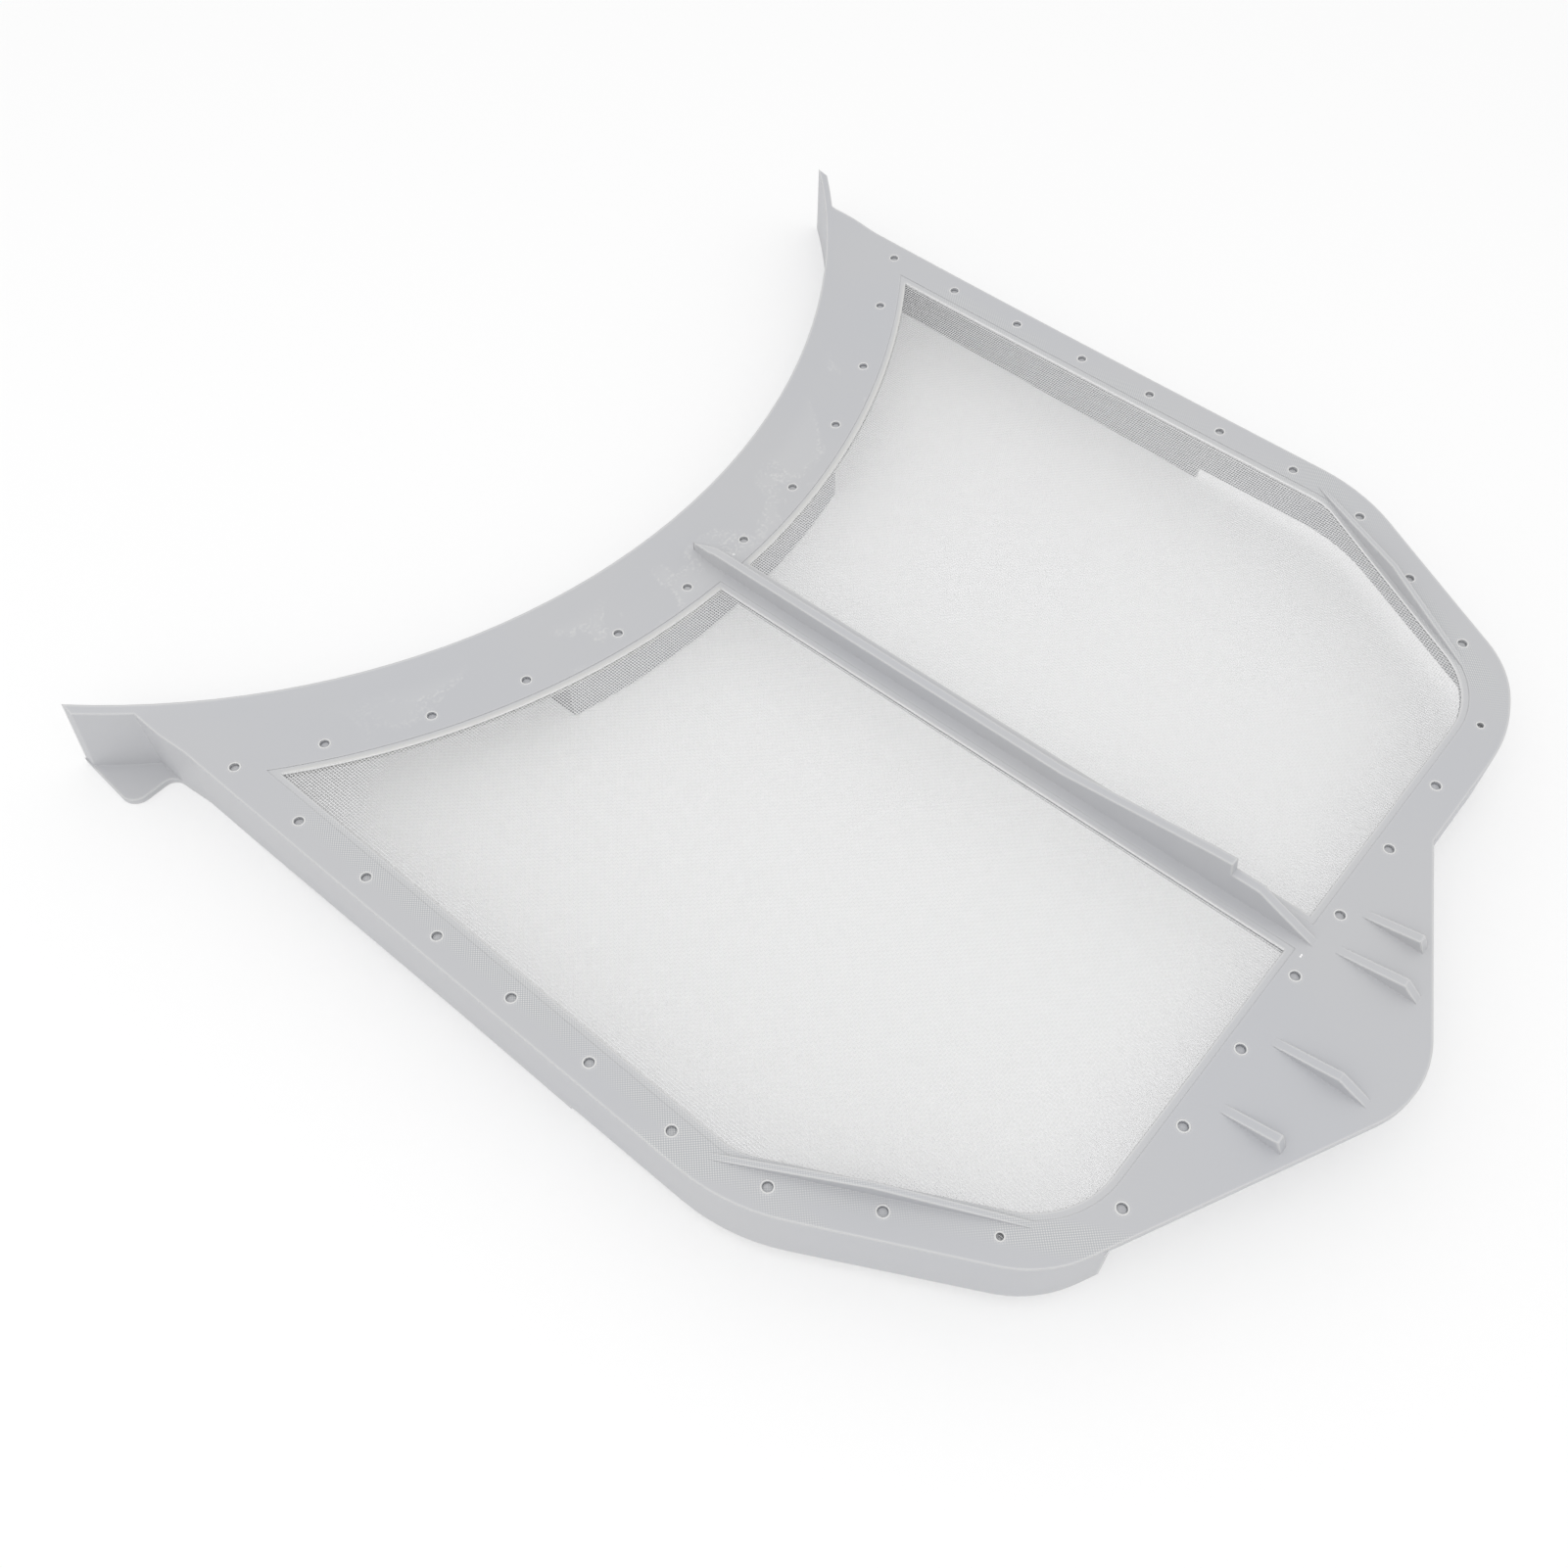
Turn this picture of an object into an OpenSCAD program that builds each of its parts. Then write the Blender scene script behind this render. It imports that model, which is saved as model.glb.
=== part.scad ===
// Tumble dryer lint filter: one moulded frame that holds one sheet of woven mesh.
// The frame's deck is a shallow dish round the axis of the dryer's door opening.
// A flange follows that opening along the front, and a skirt closes both sides.
// A flat tongue with four ribs enters the filter slot at the back.
// The shapes are drawn with the deck's middle line level, and the finished filter
// is then tipped by a degree or two, so that it stands on its feet at z = 0.

/* [Door opening] */
// Radius of the curved front edge
door_r = 224.2; // [215:0.1:235]
// Distance from the deck's reference line to the door opening's axis
door_axis_y = 246; // [243:0.5:249]
// Slope of the dished deck
deck_slope = 8.5; // [6:0.1:10]
// Half width between the two wing tips
wing_half = 169.2; // [166:0.1:172]
// Outward lean of each wing's end edge, in degrees
wing_lean = 4; // [0:0.5:6]

/* [Deck outline] */
// Half width of the deck where the chamfered corners start
deck_half = 154.6; // [152:0.1:156]
// How much wider each side is at the front than at the chamfers
deck_flare = 1.5; // [0.5:0.1:3]
// Step outwards of each side beside the flange
deck_step = 1.1; // [0.5:0.1:2]
// Y of the start of the chamfered corners
chamfer_y = -141.2; // [-145:0.1:-138]
// Angle of the chamfered corners to the sides
chamfer_angle = 28.4; // [26:0.1:31]
// Length of a chamfered corner's straight side
chamfer_len = 78.4; // [76:0.1:80]
// Y of the back edge
back_y = -220.3; // [-224:0.1:-217]
// Radius where a side turns into its chamfer
chamfer_r = 60; // [30:1:70]
// Radius of the two outer back corners
corner_r = 35; // [25:1:38]
// Thickness of the deck
deck_t = 2.4; // [2:0.1:3.2]

/* [Tongue] */
// X of the tongue's right end on the back edge
tongue_x = 49.2; // [44:0.1:56]
// X of the tongue's tip before rounding
tip_x = -19.9; // [-26:0.1:-14]
// How far the tongue's tip stands behind the back edge before rounding
tip_reach = 34.8; // [30:0.1:38]
// Angle of the tongue's long edge to the back edge
tongue_angle = 25.5; // [24:0.1:27]
// Radius of the tongue's tip
tip_r = 33; // [20:1:36]
// Thickness of the tongue's ribs
tongue_rib_t = 2.8; // [1.6:0.1:3.4]
// Height of the tongue's ribs at their high end
tongue_rib_h = 4; // [3:0.1:5.5]

/* [Windows] */
// Half width of the bar between the windows
bar_half = 6.7; // [5:0.1:8]
// Width of the rail from a window to the side of the deck
side_rail = 12.9; // [12:0.1:15]
// Width of the rail from a window to a chamfered corner
chamfer_rail = 13.9; // [13:0.1:16]
// Width of the rail from a window to the back edge
back_rail = 14.1; // [13:0.1:16]
// Width of the curved rail from the front edge to a window
front_rail = 29.7; // [27:0.1:31]
// Radius of a window's outer back corner
window_r = 27; // [15:1:30]
// Width of the shallow border round each window
border_w = 2; // [1:0.1:2.5]
// Depth of the shallow border round each window
border_d = 0.2; // [0.15:0.05:0.5]

/* [Skirt and flange] */
// Depth of the skirt below the deck's middle line
skirt_z = 17.5; // [15:0.1:20]
// Thickness of the skirt
skirt_t = 2.6; // [2:0.1:3]
// Thickness of the flange along the front edge
flange_t = 2.7; // [2:0.1:3.2]
// Rise of the front edge above the middle of the deck
lip_rise = 3; // [2:0.1:4]
// Slope at which the raised front edge runs down to the deck, in degrees
lip_slope = 11.5; // [10:0.5:14]
// Tilt of the front edge's circle to the deck's middle line, in degrees
lip_tilt = 6.8; // [6:0.1:7.5]
// Depth of the feet below the skirt, at their back ends
foot_drop = 4.5; // [3:0.1:6]
// Y of the feet's back ends
foot_back_y = -86; // [-95:1:-75]
// Y where the feet run out into the skirt
foot_front_y = 45; // [35:1:50]
// Set-back of a foot from the skirt's outer face
foot_inset = 0.7; // [0.4:0.1:1]
// Reach of a wing's ledge beyond the wing's tip
ledge_reach = 3.4; // [2:0.1:4]
// Depth of a wing's ledge from the flange towards the back
ledge_depth = 22.6; // [20:0.1:25]
// Thickness of a wing's ledge
ledge_t = 2.1; // [1.5:0.1:3]
// Half width of the walled pocket under the curved rail
pocket_half = 63; // [50:1:75]
// Thickness of the pocket's wall
pocket_t = 2; // [1.5:0.1:2.6]

/* [Ribs] */
// Thickness of the rib along the bar
spine_t = 2.8; // [2:0.1:3.6]
// Height of the rib along the bar
spine_h = 5.5; // [4:0.1:7]
// Height of the rib's peak near the back
peak_h = 12.3; // [10:0.1:14]
// Height of the step behind the peak
peak_step_h = 8.2; // [6.5:0.1:9]
// Thickness of the fins on the chamfered rails
fin_t = 1.8; // [1.2:0.1:2.4]
// Height of the fins at their middle
fin_h = 4; // [3:0.1:5]

/* [Moulding marks] */
// Radius of the round pin marks
pin_r = 1.45; // [1.1:0.05:1.7]
// Radius of the one small pin mark near each outer back corner
small_pin_r = 1; // [0.7:0.05:1.1]
// Spacing of the pin marks along the sides
pin_pitch = 27.65; // [26:0.05:28.5]

/* [Mesh] */
// Thickness of the mesh sheet
mesh_t = 0.5; // [0.4:0.05:0.8]
// Depth of the mesh below the deck's upper face
mesh_depth = 1; // [0.8:0.05:1.1]
// Spacing of the drawn threads
thread_pitch = 12.5; // [11:0.1:14]
// Width of a drawn thread
thread_w = 0.8; // [0.5:0.1:1.2]
// Height of a drawn thread above the sheet
thread_h = 0.25; // [0.15:0.05:0.35]
// Side of each drawn gap in the weave
gap_w = 4; // [2:0.1:4.5]

/* [Hidden] */
$fn = 180;
plastic = [0.76, 0.772, 0.785];
thread = [0.93, 0.93, 0.92];
past = 1;
high = 24;
deep = 60;
front_end_y = 112;

// Points and lines
function unit(v) = v / norm(v);
function heading(a) = [cos(a), sin(a)];
function meet(p, u, q, w) = p + u * cross(q - p, w) / cross(u, w);
function flip(p) = [-p.x, p.y];
function xy(p) = [p.x, p.y];

// The deck's outline, anticlockwise, as [x, y, radius]
chamfer_dir = [sin(chamfer_angle), cos(chamfer_angle)];
chamfer_start = [deck_half, chamfer_y];
corner_right = chamfer_start - chamfer_dir * chamfer_len;
tip = [tip_x, back_y - tip_reach];
corner_left = meet(flip(chamfer_start), flip(chamfer_dir), tip, heading(180 - tongue_angle));
side_y = 61.5;
step_y = 72;
side_x = deck_half + deck_flare;
back_turn_x = corner_right.x - (corner_right.y - back_y) / tan(chamfer_angle - 4);
back_turn_r = 50;
small_r = 8;
deck_edge = [
    [-side_x - deck_step, front_end_y, 0],
    [-side_x - deck_step, step_y, small_r],
    [-side_x, side_y, small_r],
    [-deck_half, chamfer_y, chamfer_r],
    [corner_left.x, corner_left.y, corner_r],
    [tip.x, tip.y, tip_r],
    [tongue_x, back_y, 0],
    [back_turn_x, back_y, back_turn_r],
    [corner_right.x, corner_right.y, corner_r],
    [deck_half, chamfer_y, chamfer_r],
    [side_x, side_y, small_r],
    [side_x + deck_step, step_y, small_r],
    [side_x + deck_step, front_end_y, 0]
];

// An outline moved inwards by d, with its rounded corners kept concentric
function left_turn(a, b, c) = cross(xy(b) - xy(a), xy(c) - xy(b)) >= 0;
function normal_in(a, b) = let (u = unit(xy(b) - xy(a))) [-u.y, u.x];
function inset(pts, d) = [
    for (i = [0 : len(pts) - 1])
        let (
            a = pts[(i + len(pts) - 1) % len(pts)],
            b = pts[i],
            c = pts[(i + 1) % len(pts)],
            n = normal_in(a, b),
            m = normal_in(b, c),
            p = xy(b) + (n + m) * d / (1 + n * m),
            r = b[2] == 0 ? 0 : b[2] + (left_turn(a, b, c) ? -d : d)
        )
        [p.x, p.y, max(r, 0)]
];

// The points of the fillet of radius r at corner b, between neighbours a and c
arc_step = 4;
function fillet(a, b, c, r) =
    let (
        u = unit(a - b),
        w = unit(c - b),
        half = acos(u * w) / 2,
        centre = b + unit(u + w) * r / sin(half),
        from = b + u * r / tan(half) - centre,
        turn = (cross(b - a, c - b) > 0 ? 1 : -1) * (180 - 2 * half),
        steps = ceil(abs(turn) / arc_step)
    )
    [
        for (i = [0 : steps])
            let (t = turn * i / steps)
            centre + [from.x * cos(t) - from.y * sin(t), from.x * sin(t) + from.y * cos(t)]
    ];

// A polygon with rounded corners, from a list of [x, y, radius]
module rounded(pts) {
    n = len(pts);
    polygon([
        for (i = [0 : n - 1])
            let (a = xy(pts[(i + n - 1) % n]), b = xy(pts[i]), c = xy(pts[(i + 1) % n]))
            each pts[i][2] > 0 ? fillet(a, b, c, pts[i][2]) : [b]
    ]);
}

module door_circle(r) {
    translate([0, door_axis_y]) circle(r);
}

module mirrored() {
    children();
    mirror([1, 0, 0]) children();
}

// The space above the dished deck's upper face, lowered by drop
dish_h = 120;
module above_dish(drop = 0) {
    translate([0, door_axis_y, 0])
        rotate([deck_slope, 0, 0])
            translate([0, 0, -drop / cos(deck_slope)])
                cylinder(h = dish_h, r1 = 0, r2 = dish_h / tan(deck_slope));
}

// Height of the dished deck at a point
function dish(x, y) =
    let (v = (door_axis_y - y) * sin(2 * deck_slope), c = 2 * cos(2 * deck_slope))
    (sqrt(v * v + 2 * c * pow(x * sin(deck_slope), 2)) - v) / c;

// A layer of the dish between two depths below its upper face
module layer(from, to) {
    difference() {
        intersection() {
            translate([0, 0, -deep / 2]) linear_extrude(deep / 2 + high) children();
            above_dish(to);
        }
        above_dish(from);
    }
}

// Everything below the raised front edge, which falls away from the door opening
module below_lip() {
    reach = door_r + 40;
    translate([0, door_axis_y - door_r, lip_rise])
        rotate([lip_tilt, 0, 0])
            translate([0, door_r, 0])
                rotate_extrude()
                    polygon([
                        [0, -deep],
                        [reach, -deep],
                        [reach, (door_r - reach) * tan(lip_slope)],
                        [0, door_r * tan(lip_slope)]
                    ]);
}

// One window, and the same outline grown by g
module window(g = 0) {
    x = deck_half + deck_flare / 2 - side_rail + g;
    c0 = chamfer_start + [-chamfer_dir.y, chamfer_dir.x] * (chamfer_rail - g);
    c1 = meet(c0, chamfer_dir, [x, 0], [0, 1]);
    c2 = meet(c0, chamfer_dir, [0, back_y + back_rail - g], [1, 0]);
    difference() {
        rounded([
            [bar_half - g, back_y + back_rail - g, 0],
            [c2.x, c2.y, window_r + g],
            [c1.x, c1.y, 20 + g],
            [x, front_end_y, 0],
            [bar_half - g, front_end_y, 0]
        ]);
        door_circle(door_r + front_rail - g);
    }
}

// The deck with its two windows and the shallow border round each
module deck() {
    difference() {
        layer(0, deck_t) difference() {
            rounded(deck_edge);
            door_circle(door_r + flange_t / 2);
            mirrored() window();
        }
        layer(-past, border_d) mirrored() window(border_w);
        sheet();
        pin_marks();
    }
}

// The raised strip along the front edge
module lip() {
    intersection() {
        translate([0, 0, -deep / 2]) linear_extrude(deep / 2 + high) intersection() {
            rounded(deck_edge);
            difference() {
                door_circle(door_r + 18);
                door_circle(door_r + flange_t / 2);
            }
        }
        above_dish(deck_t / 2);
        below_lip();
    }
}

// The skirt follows the deck's edge on both sides, but not round the tongue
skirt_left_x = -103;
module skirt_plan(outer, t) {
    difference() {
        rounded(inset(deck_edge, outer));
        rounded(inset(deck_edge, outer + t));
        translate([skirt_left_x, back_y - 60]) square([tongue_x - skirt_left_x, 60 + 15]);
        door_circle(door_r + flange_t / 2);
        translate([-200, front_end_y - 8]) square([400, 20]);
    }
}

module skirt() {
    difference() {
        translate([0, 0, -skirt_z]) linear_extrude(skirt_z + high) skirt_plan(0, skirt_t);
        above_dish(0);
    }
}

// A thin wedge below each side of the skirt, deepest at its back end
module feet() {
    foot_t = skirt_t - 2 * foot_inset + 0.4;
    intersection() {
        translate([0, 0, -skirt_z - foot_drop - past])
            linear_extrude(foot_drop + 2 * past) skirt_plan(foot_inset, foot_t);
        translate([-200, 0, 0])
            rotate([90, 0, 90])
                linear_extrude(400)
                    polygon([
                        [foot_back_y, -skirt_z - foot_drop],
                        [foot_front_y, -skirt_z],
                        [foot_front_y, -skirt_z + past],
                        [foot_back_y, -skirt_z + past]
                    ]);
    }
}

// The flange follows the door opening, and each end leans outwards
module flange() {
    lean = tan(wing_lean);
    top_half = wing_half - (high - 11) * lean;
    bottom_half = wing_half + (deep - 20 + 11) * lean;
    intersection() {
        translate([0, 0, -deep / 2]) linear_extrude(deep / 2 + high) difference() {
            door_circle(door_r + flange_t);
            door_circle(door_r);
            translate([-door_r - 10, door_axis_y - 120]) square([2 * door_r + 20, 400]);
        }
        translate([0, 200, 0])
            rotate([90, 0, 0])
                linear_extrude(300)
                    polygon([
                        [-top_half, high],
                        [-bottom_half, 20 - deep],
                        [bottom_half, 20 - deep],
                        [top_half, high]
                    ]);
        below_lip();
    }
}

// The plane that the finished filter stands on, in the deck's own frame
base_tilt = atan(foot_drop / (foot_front_y - foot_back_y));
function base_z(y) = -skirt_z + (y - foot_front_y) * tan(base_tilt);

// A ledge at the foot of each wing, from the flange to the skirt
ledge_x = wing_half + ledge_reach;
ledge_lean = 1.6;
ledge_hollow_r = 4;
ledge_corner_r = 5;
tip_y = door_axis_y - sqrt(door_r * door_r - wing_half * wing_half);
ledge_back_y = tip_y - ledge_depth;
ledge_front_y = tip_y + 6;
module ledges() {
    skirt_x = side_x + deck_step;
    root_x = side_x - 1;
    hollow_y = ledge_back_y - ledge_hollow_r - 0.2;
    mirrored()
        intersection() {
            translate([0, 0, -deep / 2]) linear_extrude(deep / 2) difference() {
                rounded([
                    [root_x, hollow_y, 0],
                    [skirt_x, hollow_y, 0],
                    [skirt_x, ledge_back_y, ledge_hollow_r],
                    [ledge_x, ledge_back_y, ledge_corner_r],
                    [ledge_x - ledge_lean, ledge_front_y, 0],
                    [root_x, ledge_front_y, 0]
                ]);
                door_circle(door_r);
            }
            translate([0, foot_front_y, -skirt_z])
                rotate([base_tilt, 0, 0])
                    translate([0, -50, 0]) cube([200, 120, ledge_t]);
        }
}

// A closed pocket under the curved rail, round the middle of the flange
module pocket() {
    r = door_r + front_rail - 3;
    module outline(g) {
        intersection() {
            door_circle(r - g);
            rounded([
                [-pocket_half + g, door_axis_y - r - 10, 0],
                [pocket_half - g, door_axis_y - r - 10, 0],
                [pocket_half - g, door_axis_y - door_r + 30, 0],
                [-pocket_half + g, door_axis_y - door_r + 30, 0]
            ]);
        }
    }
    difference() {
        translate([0, 0, -skirt_z - past]) linear_extrude(skirt_z + past + high) difference() {
            outline(0);
            outline(pocket_t);
            door_circle(door_r + flange_t / 2);
        }
        above_dish(deck_t / 2);
    }
}

// Distance of the back row of pin marks from the back edge
back_pin_in = 8.1;

// How far a rib is rooted in the deck, above the sheet of mesh
rib_root = mesh_depth / 2;

// A blade standing on the deck: its outline in y and z, given a thickness
module blade(x, t, outline) {
    translate([x - t / 2, 0, 0])
        rotate([90, 0, 90])
            linear_extrude(t) polygon(outline);
}

// The rib along the bar, with a pointed front end and a peak near the back
spine_rise_y = -131;
peak_y = -184.2;
module spine() {
    root = -rib_root;
    tip_front = door_axis_y - door_r - 12;
    intersection() {
        blade(0, spine_t, [
            [tip_front, root],
            [tip_front, lip_rise],
            [tip_front - 10, spine_h],
            [spine_rise_y, spine_h],
            [peak_y + 6, peak_h - 0.6],
            [peak_y, peak_h],
            [peak_y - 0.7, peak_step_h],
            [peak_y - 9, peak_step_h],
            [peak_y - 27.2, 0],
            [peak_y - 27.2, root]
        ]);
        translate([0, 0, root]) linear_extrude(high) polygon([
            [0, tip_front],
            [-spine_t / 2 - past, tip_front - 13],
            [-spine_t / 2 - past, peak_y - 40],
            [spine_t / 2 + past, peak_y - 40],
            [spine_t / 2 + past, tip_front - 13]
        ]);
    }
}

// Ribs on the tongue, as [x, start, peak, end], measured back from the back pin marks
tongue_ribs = [
    [16.5, 4.6, 20.3, 22.2],
    [2.2, 4.4, 23.1, 27.8],
    [-31.8, 5.2, 23, 31.7],
    [-55.9, 4.6, 19.9, 21.6]
];
module tongue_rib(x, start, peak, end) {
    y = back_y + back_pin_in;
    z = dish(x, y);
    blade(x, tongue_rib_t, [
        [y - start, z],
        [y - peak, z + tongue_rib_h],
        [y - end, z],
        [y - end, z - deck_t / 2],
        [y - start, z - deck_t / 2]
    ]);
}

// A low fin along each chamfered rail, tapering out at both ends
fin_inset = 11.6;
fin_len = 82;
fin_mid = 33;
module fin() {
    mid = chamfer_start + across * fin_inset - chamfer_dir * fin_mid;
    z = dish(mid.x, mid.y);
    slope = (dish(deck_half, chamfer_y) - dish(corner_right.x, corner_right.y)) / chamfer_len;
    translate([mid.x, mid.y, z])
        rotate([0, 0, 90 - chamfer_angle])
            rotate([0, -atan(slope), 0])
                rotate([90, 0, 0])
                    translate([0, 0, -fin_t / 2])
                        linear_extrude(fin_t)
                            polygon([
                                [-fin_len / 2, -rib_root],
                                [fin_len / 2, -rib_root],
                                [fin_len / 2, 0],
                                [0, fin_h],
                                [-fin_len / 2, 0]
                            ]);
}

// Places of the pin marks on one half, as [x, y, radius], with the small one as given
side_pin_in = 6.2;
side_pin_y = 46.9;
chamfer_pin_in = 7.2;
chamfer_pin_start = 9;
back_pin_x = 11.9;
back_pin_step = 27.15;
front_pin_in = 21.8;
front_pin_turns = [3.1, 9.6, 17.1, 24, 31.2];
across = [-chamfer_dir.y, chamfer_dir.x];
function side_pin(y) = [
    side_x - deck_flare * (side_y - y) / (side_y - chamfer_y) - side_pin_in, y, pin_r
];
function chamfer_pin(i, r) = let (
    p = chamfer_start + across * chamfer_pin_in - chamfer_dir * (chamfer_pin_start + pin_pitch * i)
) [p.x, p.y, r];
function front_pin(a) = let (r = door_r + front_pin_in) [
    r * sin(a), door_axis_y - r * cos(a), pin_r
];
function pins(small_chamfer, small_back) = concat(
    [for (i = [0 : 6]) side_pin(side_pin_y - pin_pitch * i)],
    [for (i = [0 : 2]) chamfer_pin(i, i == 2 ? small_chamfer : pin_r)],
    [for (i = [0 : 3]) [
        back_pin_x + back_pin_step * i, back_y + back_pin_in, i == 3 ? small_back : pin_r
    ]],
    [for (a = front_pin_turns) front_pin(a)]
);

module pin_holes(list) {
    for (p = list)
        translate([p.x, p.y, dish(p.x, p.y) - mesh_depth - mesh_t / 2])
            cylinder(h = high, r = p[2], $fn = 48);
}

module pin_marks() {
    pin_holes(pins(pin_r, small_pin_r));
    mirror([1, 0, 0]) pin_holes(pins(small_pin_r, pin_r));
}

// The sheet of mesh, from rail to rail, before its threads and gaps
sheet_inset = 3.4;
module sheet_plan() {
    difference() {
        rounded(inset(deck_edge, sheet_inset));
        door_circle(door_r + 18.5);
        translate([-200, back_y - 60]) square([400, 60 + 4.6]);
    }
}

module sheet() {
    layer(mesh_depth, mesh_depth + mesh_t) sheet_plan();
}

module threads_and_gaps() {
    clear = 0.4;
    x_end = deck_half - side_rail;
    y_start = back_y + back_rail;
    difference() {
        union() {
            sheet();
            layer(mesh_depth - thread_h, mesh_depth + mesh_t / 2)
                mirrored()
                    intersection() {
                        window(-clear);
                        for (x = [bar_half + thread_pitch / 2 : thread_pitch : x_end])
                            translate([x - thread_w / 2, back_y]) square([thread_w, 400]);
                    }
            layer(mesh_depth + mesh_t / 2, mesh_depth + mesh_t + thread_h)
                mirrored()
                    intersection() {
                        window(-clear);
                        for (y = [y_start + thread_pitch / 2 : thread_pitch : 60])
                            translate([0, y - thread_w / 2]) square([200, thread_w]);
                    }
        }
        translate([0, 0, -deep / 2]) linear_extrude(deep)
            mirrored()
                intersection() {
                    window(-clear - 1);
                    for (x = [bar_half + thread_pitch : 2 * thread_pitch : x_end])
                        for (y = [y_start + thread_pitch : 2 * thread_pitch : 60])
                            translate([x - gap_w / 2, y - gap_w / 2]) square(gap_w);
                }
    }
}

// The filter tipped on to its feet, with its box centred on the origin
foremost_x = ledge_x - ledge_lean * 0.88;
foremost_y = door_axis_y - sqrt(door_r * door_r - foremost_x * foremost_x);
front_end = foremost_y * cos(base_tilt) + (base_z(foremost_y) + ledge_t) * sin(base_tilt);
nose_y = tip.y + tip_r * (1 / sin(64) - 1);
back_end = nose_y * cos(base_tilt) - deck_t * sin(base_tilt);
stand_z = foot_front_y * sin(base_tilt) + skirt_z * cos(base_tilt);
module seated() {
    translate([0, -(front_end + back_end) / 2, stand_z])
        rotate([-base_tilt, 0, 0])
            children();
}

module below_table() {
    translate([0, foot_front_y, -skirt_z])
        rotate([base_tilt, 0, 0])
            translate([-250, -400, -deep]) cube([500, 700, deep]);
}

module frame() {
    color(plastic)
        seated() {
            deck();
            lip();
            spine();
            mirrored() fin();
            for (rib = tongue_ribs) tongue_rib(rib[0], rib[1], rib[2], rib[3]);
            feet();
            ledges();
            difference() {
                union() {
                    skirt();
                    flange();
                    pocket();
                }
                below_table();
            }
        }
}

module mesh() {
    color(thread) seated() threads_and_gaps();
}

frame();
mesh();
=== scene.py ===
import math

import bmesh
import bpy
import numpy as np
from mathutils import Matrix, Vector


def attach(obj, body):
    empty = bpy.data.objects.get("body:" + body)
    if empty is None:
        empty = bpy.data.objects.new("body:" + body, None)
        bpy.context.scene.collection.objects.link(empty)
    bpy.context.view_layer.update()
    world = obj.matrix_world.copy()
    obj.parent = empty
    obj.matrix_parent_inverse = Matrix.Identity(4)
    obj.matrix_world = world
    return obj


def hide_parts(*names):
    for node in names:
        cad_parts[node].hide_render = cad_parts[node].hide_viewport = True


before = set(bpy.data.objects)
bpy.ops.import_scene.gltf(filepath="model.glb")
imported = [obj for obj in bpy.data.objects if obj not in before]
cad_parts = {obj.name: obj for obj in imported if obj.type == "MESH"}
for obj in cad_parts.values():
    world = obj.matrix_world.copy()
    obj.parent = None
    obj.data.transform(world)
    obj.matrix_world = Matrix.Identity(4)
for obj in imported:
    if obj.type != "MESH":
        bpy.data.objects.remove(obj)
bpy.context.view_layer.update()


# Studio
# The filter lies on a plain white table under an even white sky with one wide soft lamp high at
# the back left, and the camera looks down on it over the left side of its back edge.
CAMERA_PLACE = (-0.2382, -0.14803, 0.3806)
CAMERA_RIGHT = (0.64908, -0.76054, 0.01651)
CAMERA_DOWN = (-0.62555, -0.54597, -0.55731)
CAMERA_FORWARD = (0.43287, 0.35142, -0.83014)
CAMERA_LENS = 35.078
CAMERA_SENSOR = 36.0
SKY_LEVEL = 0.9
LAMP_SHARE = 0.2
LAMP_SIZE = 1.2
LAMP_PLACE = (-0.62, -0.25, 1.3)
FLOOR_HALF = 3.0
FLOOR_WHITE = (0.96, 0.96, 0.96, 1)
BACKDROP_SHARE = 0.3

camera = bpy.data.objects.new("camera", bpy.data.cameras.new("camera"))
camera.data.lens = CAMERA_LENS
camera.data.sensor_width = CAMERA_SENSOR
camera.data.clip_start = 0.01
columns = [CAMERA_RIGHT, [-v for v in CAMERA_DOWN], [-v for v in CAMERA_FORWARD], CAMERA_PLACE]
camera.matrix_world = Matrix([*[list(row) for row in zip(*columns)], [0, 0, 0, 1]])
bpy.context.scene.collection.objects.link(camera)
bpy.context.scene.camera = camera
bpy.context.scene.view_settings.view_transform = "Standard"

world = bpy.data.worlds.new("studio")
bpy.context.scene.world = world
world.use_nodes = True
sky = world.node_tree.nodes["Background"]
sky.inputs["Color"].default_value = (1, 1, 1, 1)
sky.inputs["Strength"].default_value = SKY_LEVEL

lamp = bpy.data.objects.new("softbox", bpy.data.lights.new("softbox", "AREA"))
lamp.data.size = LAMP_SIZE
reach = Vector(LAMP_PLACE)
lamp.data.energy = LAMP_SHARE * (math.pi * reach.length) ** 2
lamp.matrix_world = Matrix.Translation(reach) @ reach.to_track_quat("Z", "Y").to_matrix().to_4x4()
bpy.context.scene.collection.objects.link(lamp)


def surface(name, points, faces, material):
    """A mesh object at the origin, from an array of points and a list of faces."""
    data = bpy.data.meshes.new(name)
    data.from_pydata(points, [], faces)
    data.update()
    piece = bpy.data.objects.new(name, data)
    bpy.context.scene.collection.objects.link(piece)
    data.materials.append(material)
    return piece


def finish(name):
    """A new node material, with its principled shader and its links."""
    material = bpy.data.materials.new(name)
    material.use_nodes = True
    tree = material.node_tree
    return material, tree, tree.nodes["Principled BSDF"]


table_white, tree, shader = finish("table_white")
shader.inputs["Base Color"].default_value = FLOOR_WHITE
shader.inputs["Roughness"].default_value = 0.8
shader.inputs["Specular IOR Level"].default_value = 0.1

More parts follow.
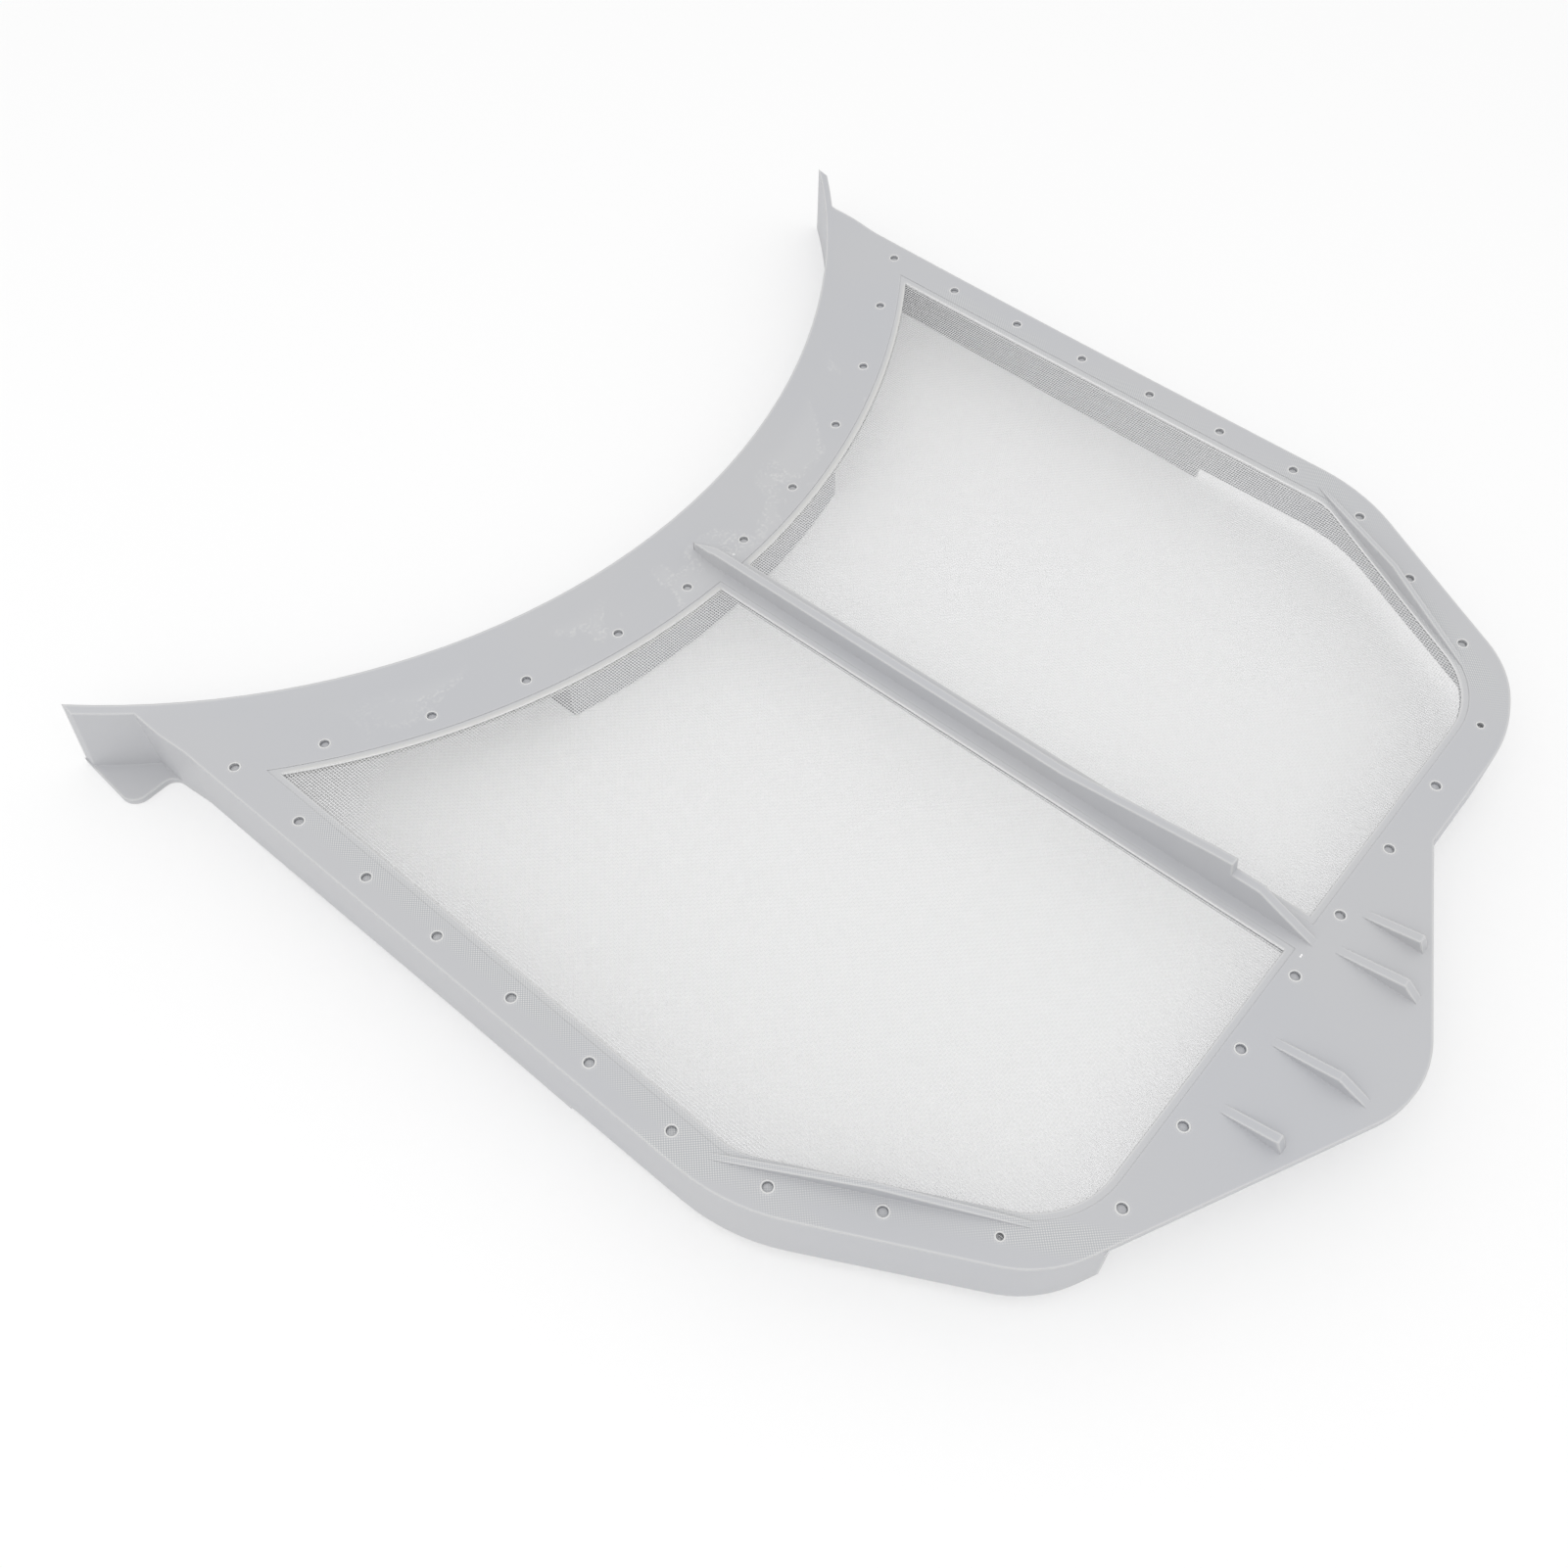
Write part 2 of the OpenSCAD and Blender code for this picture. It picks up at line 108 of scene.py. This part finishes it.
# What the camera sees of the table is partly plain white, so that the shadows on it stay soft.
plain_white = tree.nodes.new("ShaderNodeEmission")
seen = tree.nodes.new("ShaderNodeLightPath").outputs
share = tree.nodes.new("ShaderNodeMath")
share.operation = "MULTIPLY"
share.inputs[1].default_value = BACKDROP_SHARE
direct = seen["Is Camera Ray"]
for other in (seen["Is Glossy Ray"], seen["Is Transmission Ray"]):
    either = tree.nodes.new("ShaderNodeMath")
    either.operation = "MAXIMUM"
    tree.links.new(direct, either.inputs[0])
    tree.links.new(other, either.inputs[1])
    direct = either.outputs[0]
tree.links.new(direct, share.inputs[0])
mixed = tree.nodes.new("ShaderNodeMixShader")
tree.links.new(share.outputs[0], mixed.inputs["Fac"])
tree.links.new(shader.outputs[0], mixed.inputs[1])
tree.links.new(plain_white.outputs[0], mixed.inputs[2])
tree.links.new(mixed.outputs[0], tree.nodes["Material Output"].inputs["Surface"])
floor = surface(
    "table_top",
    np.array([[-1, -1, 0], [1, -1, 0], [1, 1, 0], [-1, 1, 0]]) * FLOOR_HALF,
    [(0, 1, 2, 3)],
    table_white,
)


# Frame
# One light grey moulding: the dished deck, the curved flange with its two wings, the skirts, the
# tongue and the ribs. It is the CAD solid itself, merged so that its curved walls shade smoothly.
PLASTIC_GREY = (0.508, 0.515, 0.537, 1)
PLASTIC_WARM = (0.522, 0.525, 0.538, 1)
# Painted shade in the hollows of the printed weave.
PLASTIC_HOLLOW_SHADE = (0.44, 0.45, 0.47, 1)
PLASTIC_PALE = (0.69, 0.69, 0.68, 1)
PLASTIC_CREAM = (0.66, 0.655, 0.61, 1)
# Painted highlight along convex edges and on the burrs round the pin marks.
PAINTED_HIGHLIGHT = (0.74, 0.74, 0.735, 1)
# Painted highlight on the window walls, and the white of the specks.
HIGHLIGHT_AND_SPECK_WHITE = (0.95, 0.95, 0.95, 1)
MERGE = 1e-5
CREASE = math.radians(24)
SOFT_EDGE = 0.0006
EDGE_HIGHLIGHT_RADIUS = 0.0013
DOOR_AXIS_Y = 0.246
DOOR_R = 0.2242
DISH = math.radians(8.5)
TILT = math.atan(4.5 / 131)
SEAT_Y = 0.0753
SEAT_Z = 0.019035
WINDOW_X = (0.0067, 0.14245)
WINDOW_BACK = -0.2062
WINDOW_FRONT_R = 0.2539
BORDER = 0.002
BORDER_DEPTH = (0.00005, 0.0005)
WALL_DEPTH = (0.00025, 0.0012)
WALL_SLACK = 0.001
WEAVE = 0.00084
EDGE_TURN = (0.8, 0.998)
EDGE_OPEN = (0.75, 0.95)
EDGE_REACH = 0.002
LEVEL_RANGE = (0.9, 0.97)
MARKS_RANGE = (0.09, 0.13)
PRINT_FRONT = (0.09, 0.108)
PRINT_SIDE = (0.1405, 0.1435, 0.1475, 0.151)
PRINT_CHAMFER = (0.1515, 0.1545, 0.16, 0.163)


def dish(x, y):
    """Height of the deck's cone: the positive root z of z*z*cos(2a) + z*(axis-y)*sin(2a) = (x*sin(a))^2."""
    v = (DOOR_AXIS_Y - y) * math.sin(2 * DISH)
    c = 2 * math.cos(2 * DISH)
    return (np.sqrt(v * v + 2 * c * (x * math.sin(DISH)) ** 2) - v) / c


def seated(x, y, z):
    """Deck coordinates turned about x by the filter's tilt, then moved on to the table."""
    c, s = math.cos(TILT), math.sin(TILT)
    return np.stack([x, y * c + z * s + SEAT_Y, -y * s + z * c + SEAT_Z], -1)


def on_deck(points):
    """The inverse of seated: points on the table, moved back and turned the other way."""
    c, s = math.cos(TILT), math.sin(TILT)
    y, z = points[:, 1] - SEAT_Y, points[:, 2] - SEAT_Z
    return points[:, 0], y * c - z * s, y * s + z * c


def calc(tree, operation, *values):
    """The output of a Math node whose inputs are numbers or other outputs."""
    node = tree.nodes.new("ShaderNodeMath")
    node.operation = operation
    for socket, value in zip(node.inputs, values):
        if isinstance(value, (int, float)):
            socket.default_value = value
        else:
            tree.links.new(value, socket)
    return node.outputs[0]


def step(tree, value, low, high):
    """value carried smoothly from 0 at low to 1 at high."""
    node = tree.nodes.new("ShaderNodeMapRange")
    node.interpolation_type = "SMOOTHSTEP"
    node.inputs["From Min"].default_value = low
    node.inputs["From Max"].default_value = high
    tree.links.new(value, node.inputs["Value"])
    return node.outputs["Result"]


def clouds(tree, place, scale, detail, swirl=0.0):
    """A noise of about scale patches per metre."""
    node = tree.nodes.new("ShaderNodeTexNoise")
    node.inputs["Scale"].default_value = scale
    node.inputs["Detail"].default_value = detail
    node.inputs["Distortion"].default_value = swirl
    tree.links.new(place, node.inputs["Vector"])
    return node.outputs["Fac"]


def blended(tree, share, below, above):
    """Colour below, covered by colour above to the given share."""
    node = tree.nodes.new("ShaderNodeMix")
    node.data_type = "RGBA"
    tree.links.new(share, node.inputs["Factor"])
    for socket, colour in ((node.inputs[6], below), (node.inputs[7], above)):
        if isinstance(colour, tuple):
            socket.default_value = colour
        else:
            tree.links.new(colour, socket)
    return node.outputs[2]


# Places of the pin marks on one half of the deck, as x, y and radius, the third in the row along
# the chamfer and the last along the back being small on one side.
PIN_R = 0.00145
SMALL_PIN_R = 0.001
PIN_PITCH = 0.02765
SIDE_TOP = (0.1561, 0.0615)
CHAMFER_TOP = (0.1546, -0.1412)
CHAMFER_ANGLE = math.radians(28.4)
BACK_PIN_Y = -0.2122
PIN_DEPTH = 0.001
RIM_HALF = 0.00022
RIM_HEIGHT = 0.00014


def pin_places(small_chamfer, small_back):
    """Rows of [x, y, radius]: seven beside the window, three by the chamfer, four at the back and
    five on an arc about the door's axis."""
    run = np.arange(7) * PIN_PITCH
    y = 0.0469 - run
    lean = (SIDE_TOP[0] - CHAMFER_TOP[0]) / (SIDE_TOP[1] - CHAMFER_TOP[1])
    side = np.stack([SIDE_TOP[0] - lean * (SIDE_TOP[1] - y) - 0.0062, y], -1)
    along = np.array([math.sin(CHAMFER_ANGLE), math.cos(CHAMFER_ANGLE)])
    across = np.array([-along[1], along[0]])
    chamfer = CHAMFER_TOP + across * 0.0072 - along * (0.009 + run[:3, None])
    back = np.stack([0.0119 + 0.02715 * np.arange(4), np.full(4, BACK_PIN_Y)], -1)
    turn = np.radians([3.1, 9.6, 17.1, 24, 31.2])
    reach = DOOR_R + 0.0218
    arc = np.stack([reach * np.sin(turn), DOOR_AXIS_Y - reach * np.cos(turn)], -1)
    places = np.concatenate([side, chamfer, back, arc])
    radii = np.full(len(places), PIN_R)
    radii[9], radii[13] = small_chamfer, small_back
    return np.column_stack([places, radii])


def turned_on_deck(places, profile, steps):
    """Closed rings on the deck: each profile point (radius, height) carried round each place."""
    turn = np.arange(steps) * 2 * math.pi / steps
    radius = places[:, 2, None, None] + profile[:, 0, None]
    x = places[:, 0, None, None] + radius * np.cos(turn)
    y = places[:, 1, None, None] + radius * np.sin(turn)
    points = seated(x, y, dish(x, y) + profile[:, 1, None]).reshape(-1, 3)
    index = np.arange(len(places) * len(profile) * steps).reshape(len(places), len(profile), steps)
    a, b = index, np.roll(index, -1, 1)
    faces = np.stack([a, np.roll(a, -1, 2), np.roll(b, -1, 2), b], -1).reshape(-1, 4)
    return points, faces


right_pins = pin_places(PIN_R, SMALL_PIN_R)
left_pins = pin_places(SMALL_PIN_R, PIN_R) * [-1, 1, 1]
all_pins = np.concatenate([right_pins, left_pins])
lap = np.linspace(0, 2 * math.pi, 8, endpoint=False)
rim_profile = np.stack([0.00015 + RIM_HALF * np.cos(lap), RIM_HEIGHT * np.sin(lap)], -1)
rim_points, rim_faces = turned_on_deck(all_pins, rim_profile, 32)

# Small white domes: one on the front of the deck and an oblong pair behind the bar.
specks = np.array([[0.0064, -0.0014, 0.0005], [-0.006, -0.2104, 0.00035], [-0.0054, -0.2104, 0.00035]])
dot_profile = np.array([[0, -0.0001], [-0.00005, 0.0001], [-0.00034, 0.00014], [-0.00034, -0.0001]])
dot_points, dot_faces = turned_on_deck(specks, dot_profile, 16)

# Under each larger mark a skin of plastic has closed over the weave.
skin_pins = all_pins[all_pins[:, 2] == PIN_R]
skin_profile = np.array([
    [0.0001, -PIN_DEPTH], [-PIN_R * 0.5, -PIN_DEPTH], [-PIN_R * 0.99, -PIN_DEPTH],
    [-PIN_R * 0.99, -PIN_DEPTH - 0.0002], [0.0001, -PIN_DEPTH - 0.0002],
])[::-1]
skin_points, skin_faces = turned_on_deck(skin_pins, skin_profile, 24)

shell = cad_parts["frame"].data.copy()
body = bmesh.new()
body.from_mesh(shell)
bmesh.ops.remove_doubles(body, verts=body.verts, dist=MERGE)

moulded_faces = len(body.faces)
for points, faces in ((rim_points, rim_faces), (dot_points, dot_faces), (skin_points, skin_faces)):
    small = bpy.data.meshes.new("pin_mark_part")
    small.from_pydata(points, [], faces)
    body.from_mesh(small)
    bpy.data.meshes.remove(small)
body.to_mesh(shell)
body.free()
if "custom_normal" in shell.attributes:
    shell.attributes.remove(shell.attributes["custom_normal"])
shell.shade_smooth()
shell.set_sharp_from_angle(angle=CREASE)

# The shallow border round each window is told from the deck by its depth, face by face.
count = len(shell.polygons)
centres, normals = np.zeros(count * 3), np.zeros(count * 3)
shell.polygons.foreach_get("center", centres)
shell.polygons.foreach_get("normal", normals)
x, y, z = on_deck(centres.reshape(-1, 3))
border = (
    (np.abs(x) > WINDOW_X[0] - BORDER)
    & (np.abs(x) < WINDOW_X[1] + BORDER)
    & (y > WINDOW_BACK - BORDER)
    & (np.hypot(x, DOOR_AXIS_Y - y) > WINDOW_FRONT_R - BORDER)
    & (normals.reshape(-1, 3)[:, 2] > 0.9)
    & (dish(x, y) - z > BORDER_DEPTH[0])
    & (dish(x, y) - z < BORDER_DEPTH[1])
)
shell.attributes.new("border", "FLOAT", "FACE").data.foreach_set("value", border.astype(float))
# The burr round each pin mark is flagged for a painted highlight colour.
burr_highlight = np.zeros(count)
burr_highlight[moulded_faces:moulded_faces + len(rim_faces)] = 1
shell.attributes.new("burr_highlight", "FLOAT", "FACE").data.foreach_set("value", burr_highlight)

# The walls of the windows, where the threads end in the plastic, are painted white as a painted highlight
# that lifts the shade in the narrow trench above the cloth, and the specks are white.
from_pin = np.hypot(x[:, None] - all_pins[:, 0], y[:, None] - all_pins[:, 1]).min(1)
wall_highlight_and_specks = (
    (np.abs(normals.reshape(-1, 3)[:, 2]) < 0.3)
    & (dish(x, y) - z > WALL_DEPTH[0])
    & (dish(x, y) - z < WALL_DEPTH[1])
    & (from_pin > 0.0025)
    & (np.abs(x) > WINDOW_X[0] - WALL_SLACK)
    & (np.abs(x) < WINDOW_X[1] + WALL_SLACK)
    & (y > WINDOW_BACK - WALL_SLACK)
    & (np.hypot(x, DOOR_AXIS_Y - y) > WINDOW_FRONT_R - WALL_SLACK)
).astype(float)
wall_highlight_and_specks[moulded_faces + len(rim_faces):moulded_faces + len(rim_faces) + len(dot_faces)] = 1
shell.attributes.new("wall_highlight_and_specks", "FLOAT", "FACE").data.foreach_set("value", wall_highlight_and_specks)

grey_plastic, tree, shader = finish("grey_plastic")
place = tree.nodes.new("ShaderNodeTexCoord").outputs["Object"]
split = tree.nodes.new("ShaderNodeSeparateXYZ")
tree.links.new(place, split.inputs["Vector"])
right, ahead = split.outputs["X"], split.outputs["Y"]
outward = calc(tree, "ABSOLUTE", right)

# Every edge is softened, and convex edges and corners get a painted highlight: a paler colour along them.
soft = tree.nodes.new("ShaderNodeBevel")
soft.inputs["Radius"].default_value = SOFT_EDGE
soft.samples = 8
true_normal = tree.nodes.new("ShaderNodeNewGeometry").outputs["True Normal"]
facing = tree.nodes.new("ShaderNodeSeparateXYZ")
tree.links.new(true_normal, facing.inputs["Vector"])
level = step(tree, facing.outputs["Z"], *LEVEL_RANGE)
wide = tree.nodes.new("ShaderNodeBevel")
wide.inputs["Radius"].default_value = EDGE_HIGHLIGHT_RADIUS
wide.samples = 6
turned = tree.nodes.new("ShaderNodeVectorMath")
turned.operation = "DOT_PRODUCT"
tree.links.new(wide.outputs["Normal"], turned.inputs[0])
tree.links.new(true_normal, turned.inputs[1])
edge_highlight = calc(tree, "SUBTRACT", 1.0, step(tree, turned.outputs["Value"], *EDGE_TURN))

# Only edges that stand out get the painted highlight: at the foot of a rib or a wall the surface sees
# itself.
nearby = tree.nodes.new("ShaderNodeAmbientOcclusion")
nearby.inputs["Distance"].default_value = EDGE_REACH
nearby.samples = 4
nearby.only_local = True
edge_highlight = calc(tree, "MULTIPLY", edge_highlight, step(tree, nearby.outputs["AO"], *EDGE_OPEN))

# Dried flow marks lie on the curved rail, between the flange and the windows.
from_axis = calc(tree, "SUBTRACT", DOOR_AXIS_Y + SEAT_Y, ahead)
radius = calc(tree, "SQRT", calc(
    tree, "ADD", calc(tree, "MULTIPLY", right, right), calc(tree, "MULTIPLY", from_axis, from_axis)
))
on_rail = calc(
    tree, "MULTIPLY",
    step(tree, radius, DOOR_R + 0.006, DOOR_R + 0.014),
    calc(tree, "SUBTRACT", 1.0, step(tree, radius, WINDOW_FRONT_R - 0.006, WINDOW_FRONT_R)),
)
pool = step(tree, clouds(tree, place, 24, 4, 0.8), 0.5, 0.57)
tide = calc(tree, "MULTIPLY", calc(tree, "MULTIPLY", pool, calc(tree, "SUBTRACT", 1.0, pool)), 4.0)
speckle = step(tree, clouds(tree, place, 900, 1), 0.45, 0.7)
marks = calc(
    tree, "ADD", calc(tree, "MULTIPLY", pool, 0.25), calc(tree, "MULTIPLY", tide, speckle)
)
mark_share = calc(tree, "MULTIPLY", calc(tree, "MULTIPLY", marks, on_rail), calc(
    tree, "SUBTRACT", 0.45, calc(tree, "MULTIPLY", step(tree, outward, *MARKS_RANGE), 0.45)
))
window_edge = calc(tree, "MULTIPLY", step(tree, radius, WINDOW_FRONT_R - 0.0022, WINDOW_FRONT_R), calc(
    tree, "SUBTRACT", 1.0, step(tree, radius, WINDOW_FRONT_R + 0.001, WINDOW_FRONT_R + 0.002)
))
window_edge = calc(tree, "MULTIPLY", window_edge, calc(
    tree, "SUBTRACT", step(tree, outward, WINDOW_X[0] - 0.001, WINDOW_X[0] + 0.001),
    step(tree, outward, WINDOW_X[1] - 0.004, WINDOW_X[1] + 0.001)
))

# The weave prints through the thin rails along the sides and the chamfered corners, as small bumps whose
# hollows are painted darker as painted shade.
waves = [
    calc(tree, "SINE", calc(tree, "MULTIPLY", axis, 2 * math.pi / WEAVE)) for axis in (right, ahead)
]
weave = calc(tree, "MULTIPLY", *waves)
chamfer_line = calc(
    tree, "ADD",
    calc(tree, "MULTIPLY", outward, math.cos(CHAMFER_ANGLE)),
    calc(tree, "MULTIPLY", ahead, -math.sin(CHAMFER_ANGLE)),
)
by_side = calc(tree, "MULTIPLY", step(tree, outward, *PRINT_SIDE[:2]), calc(
    tree, "SUBTRACT", 1.0, step(tree, outward, *PRINT_SIDE[2:])
))
by_side = calc(tree, "MULTIPLY", by_side, calc(
    tree, "SUBTRACT", 1.0, step(tree, ahead, *PRINT_FRONT)
))
by_chamfer = calc(tree, "MULTIPLY", step(tree, chamfer_line, *PRINT_CHAMFER[:2]), calc(
    tree, "SUBTRACT", 1.0, step(tree, chamfer_line, *PRINT_CHAMFER[2:])
))
thin = calc(tree, "MAXIMUM", by_side, by_chamfer)
patchy = step(tree, clouds(tree, place, 26, 3), 0.3, 0.62)
print_share = calc(tree, "MULTIPLY", thin, patchy)
print_share = calc(tree, "MULTIPLY", print_share, level)
print_dots = calc(tree, "MULTIPLY", print_share, step(tree, weave, -0.2, 0.9))

fine = clouds(tree, place, 1500, 2)
bump = tree.nodes.new("ShaderNodeBump")
bump.inputs["Strength"].default_value = 0.25
bump.inputs["Distance"].default_value = 0.0001
tree.links.new(calc(tree, "ADD", calc(tree, "MULTIPLY", fine, 0.35), print_dots), bump.inputs["Height"])
tree.links.new(soft.outputs["Normal"], bump.inputs["Normal"])
tree.links.new(bump.outputs["Normal"], shader.inputs["Normal"])

tint = clouds(tree, place, 12, 3)
colour = blended(tree, step(tree, tint, 0.3, 0.7), PLASTIC_GREY, PLASTIC_WARM)
colour = blended(tree, mark_share, colour, PLASTIC_PALE)
colour = blended(tree, calc(tree, "MULTIPLY", window_edge, 0.6), colour, PLASTIC_CREAM)
# Painted shade: the dimples of the print take the darker colour, the raised dots the paler one.
printed_with_shade = blended(tree, step(tree, weave, -0.3, 0.8), PLASTIC_HOLLOW_SHADE, PLASTIC_PALE)
colour = blended(tree, calc(tree, "MULTIPLY", print_share, 0.95), colour, printed_with_shade)
border_mark = tree.nodes.new("ShaderNodeAttribute")
border_mark.attribute_name = "border"
colour = blended(tree, calc(tree, "MULTIPLY", border_mark.outputs["Fac"], 0.15), colour, PLASTIC_PALE)
# Painted highlight along the convex edges.
colour = blended(tree, calc(tree, "MULTIPLY", edge_highlight, 0.85), colour, PAINTED_HIGHLIGHT)
burr_highlight_mark = tree.nodes.new("ShaderNodeAttribute")
burr_highlight_mark.attribute_name = "burr_highlight"
# Painted highlight on the burr round each pin mark.
colour = blended(tree, burr_highlight_mark.outputs["Fac"], colour, PAINTED_HIGHLIGHT)
wall_highlight_and_speck_mark = tree.nodes.new("ShaderNodeAttribute")
wall_highlight_and_speck_mark.attribute_name = "wall_highlight_and_specks"
# Painted highlight on the window walls, and the white specks.
colour = blended(tree, wall_highlight_and_speck_mark.outputs["Fac"], colour, HIGHLIGHT_AND_SPECK_WHITE)
tree.links.new(colour, shader.inputs["Base Color"])
gloss = calc(tree, "ADD", 0.4, calc(tree, "MULTIPLY", fine, 0.12))
tree.links.new(gloss, shader.inputs["Roughness"])

shell.materials.clear()
shell.materials.append(grey_plastic)
moulding = bpy.data.objects.new("frame_moulding", shell)
bpy.context.scene.collection.objects.link(moulding)
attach(moulding, "root")
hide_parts("frame")


# Mesh
# One sheet of white square-woven monofilament, held tight by the moulding all round. It follows
# the dished deck just below its face, and shows in both windows and at the foot of the pin marks.
CLOTH_DEPTH = 0.00125
THREAD = 0.00022
LAYER = 0.00013
FRONT_R = 0.2427
BACK_Y = -0.2157
EDGE_INSET = 0.0034
CHAMFER_FOOT = (0.1173, -0.2102)
BACK_TURN = (0.0950, -0.2203)


def moved_in(a, b, c, r):
    """Corner b of a line a-b-c, moved in by EDGE_INSET and rounded: the arc of radius r about the
    point that lies r from both lines, in steps from the foot on one line to the foot on the other."""
    a, b, c = np.array([a, b, c])
    u, w = (b - a) / np.linalg.norm(b - a), (c - b) / np.linalg.norm(c - b)
    inward = np.array([[u[1], -u[0]], [w[1], -w[0]]])
    centre = b + np.linalg.solve(inward, np.full(2, r + EDGE_INSET))
    start, end = (math.atan2(-n[1], -n[0]) for n in inward)
    turn = np.linspace(start, end, 9)
    return centre + r * np.stack([np.cos(turn), np.sin(turn)], -1)


outline = np.concatenate([
    [[SIDE_TOP[0] - EDGE_INSET, SIDE_TOP[1]]],
    moved_in(SIDE_TOP, CHAMFER_TOP, CHAMFER_FOOT, 0.0566),
    moved_in(CHAMFER_TOP, CHAMFER_FOOT, BACK_TURN, 0.0316),
])


def side_limit(y):
    """Half width of the sheet at y, read off its rounded outline."""
    return np.interp(y, outline[::-1, 1], outline[::-1, 0])


def back_limit(x):
    """Y of the sheet's back edge at x: the straight back, or the rounded outline past it."""
    return np.maximum(BACK_Y, np.interp(np.abs(x), outline[:0:-1, 0], outline[:0:-1, 1]))


def threads(x, y, wide, deep, sides):
    """Tubes along the rows of x and y, each with an elliptic section of the given width and depth.
    Row i, step j, corner k sits at the centre line plus cos and sin of its angle times the half axes."""
    rows, steps = x.shape
    turn = np.arange(sides) * 2 * math.pi / sides + math.pi / 2
    across = np.cos(turn) * THREAD / 2
    up = np.sin(turn) * THREAD / 2
    z = dish(x, y) - deep
    px = x[..., None] + across * wide[0]
    py = y[..., None] + across * wide[1]
    pz = z[..., None] + up
    points = seated(px, py, pz).reshape(-1, 3)
    index = np.arange(rows * steps * sides).reshape(rows, steps, sides)
    a, b = index[:, :-1], index[:, 1:]
    walls = np.stack([a, b, np.roll(b, -1, 2), np.roll(a, -1, 2)], -1).reshape(-1, 4)
    ends = np.concatenate([index[:, 0, ::-1], index[:, -1]])
    return points, walls, ends


def rows_between(fixed, low, high, steps):
    """For each thread, evenly spaced places from its low end to its high end."""
    t = np.linspace(0, 1, steps)
    moving = low[:, None] + (high - low)[:, None] * t
    return np.repeat(fixed[:, None], steps, 1), moving


warp_x = (np.arange(-181, 182) + 0.5) * WEAVE
warp_x = warp_x[np.abs(warp_x) < CHAMFER_TOP[0] - EDGE_INSET - 0.002]
front_y = DOOR_AXIS_Y - np.sqrt(FRONT_R ** 2 - warp_x ** 2)
warp = rows_between(warp_x, back_limit(warp_x), front_y, 10)

weft_y = np.arange(BACK_Y + WEAVE / 2, 0.0565, WEAVE)
open_half = np.sqrt(np.clip(FRONT_R ** 2 - (DOOR_AXIS_Y - weft_y) ** 2, 0, None))
edge = side_limit(weft_y)
whole = weft_y < DOOR_AXIS_Y - FRONT_R
weft_full = rows_between(weft_y[whole], -edge[whole], edge[whole], 25)
weft_left = rows_between(weft_y[~whole], -edge[~whole], -open_half[~whole], 13)
weft_right = rows_between(weft_y[~whole], open_half[~whole], edge[~whole], 13)

cloth_points, cloth_faces, over = [], [], []
start = 0
for x, y, wide, deep, layer in [
    (warp[0], warp[1], (1, 0), CLOTH_DEPTH - LAYER, 1.0),
    (weft_full[1], weft_full[0], (0, -1), CLOTH_DEPTH + LAYER, -1.0),
    (weft_left[1], weft_left[0], (0, -1), CLOTH_DEPTH + LAYER, -1.0),
    (weft_right[1], weft_right[0], (0, -1), CLOTH_DEPTH + LAYER, -1.0),
]:
    points, walls, ends = threads(x, y, wide, deep, 4)
    cloth_points.append(points)
    cloth_faces += (walls + start).tolist() + (ends + start).tolist()
    over.append(np.full(len(points), layer))
    start += len(points)

# A thread is painted brighter where it passes over a crossing one and darker where it dips under it:
# painted highlight and painted shade on threads that run straight.
white_thread, tree, shader = finish("white_thread")
place = tree.nodes.new("ShaderNodeTexCoord").outputs["Object"]
split = tree.nodes.new("ShaderNodeSeparateXYZ")
tree.links.new(place, split.inputs["Vector"])
layer_of = tree.nodes.new("ShaderNodeAttribute")
layer_of.attribute_name = "over"
swing = calc(
    tree, "MULTIPLY",
    calc(tree, "SINE", calc(tree, "MULTIPLY", split.outputs["X"], math.pi / WEAVE)),
    calc(tree, "SINE", calc(tree, "MULTIPLY", split.outputs["Y"], math.pi / WEAVE)),
)
over_under_light = calc(tree, "MULTIPLY", swing, layer_of.outputs["Fac"])
# Painted highlight over a crossing thread, painted shade under it.
colour = blended(tree, step(tree, over_under_light, -0.9, 0.6), (0.88, 0.88, 0.885, 1), (0.97, 0.97, 0.975, 1))
tree.links.new(colour, shader.inputs["Base Color"])
shader.inputs["Roughness"].default_value = 0.35

cloth = surface("mesh_cloth", np.concatenate(cloth_points), cloth_faces, white_thread)
cloth.data.shade_smooth()
layer_mark = cloth.data.attributes.new("over", "FLOAT", "POINT")
layer_mark.data.foreach_set("value", np.concatenate(over))
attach(cloth, "root")
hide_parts("mesh")
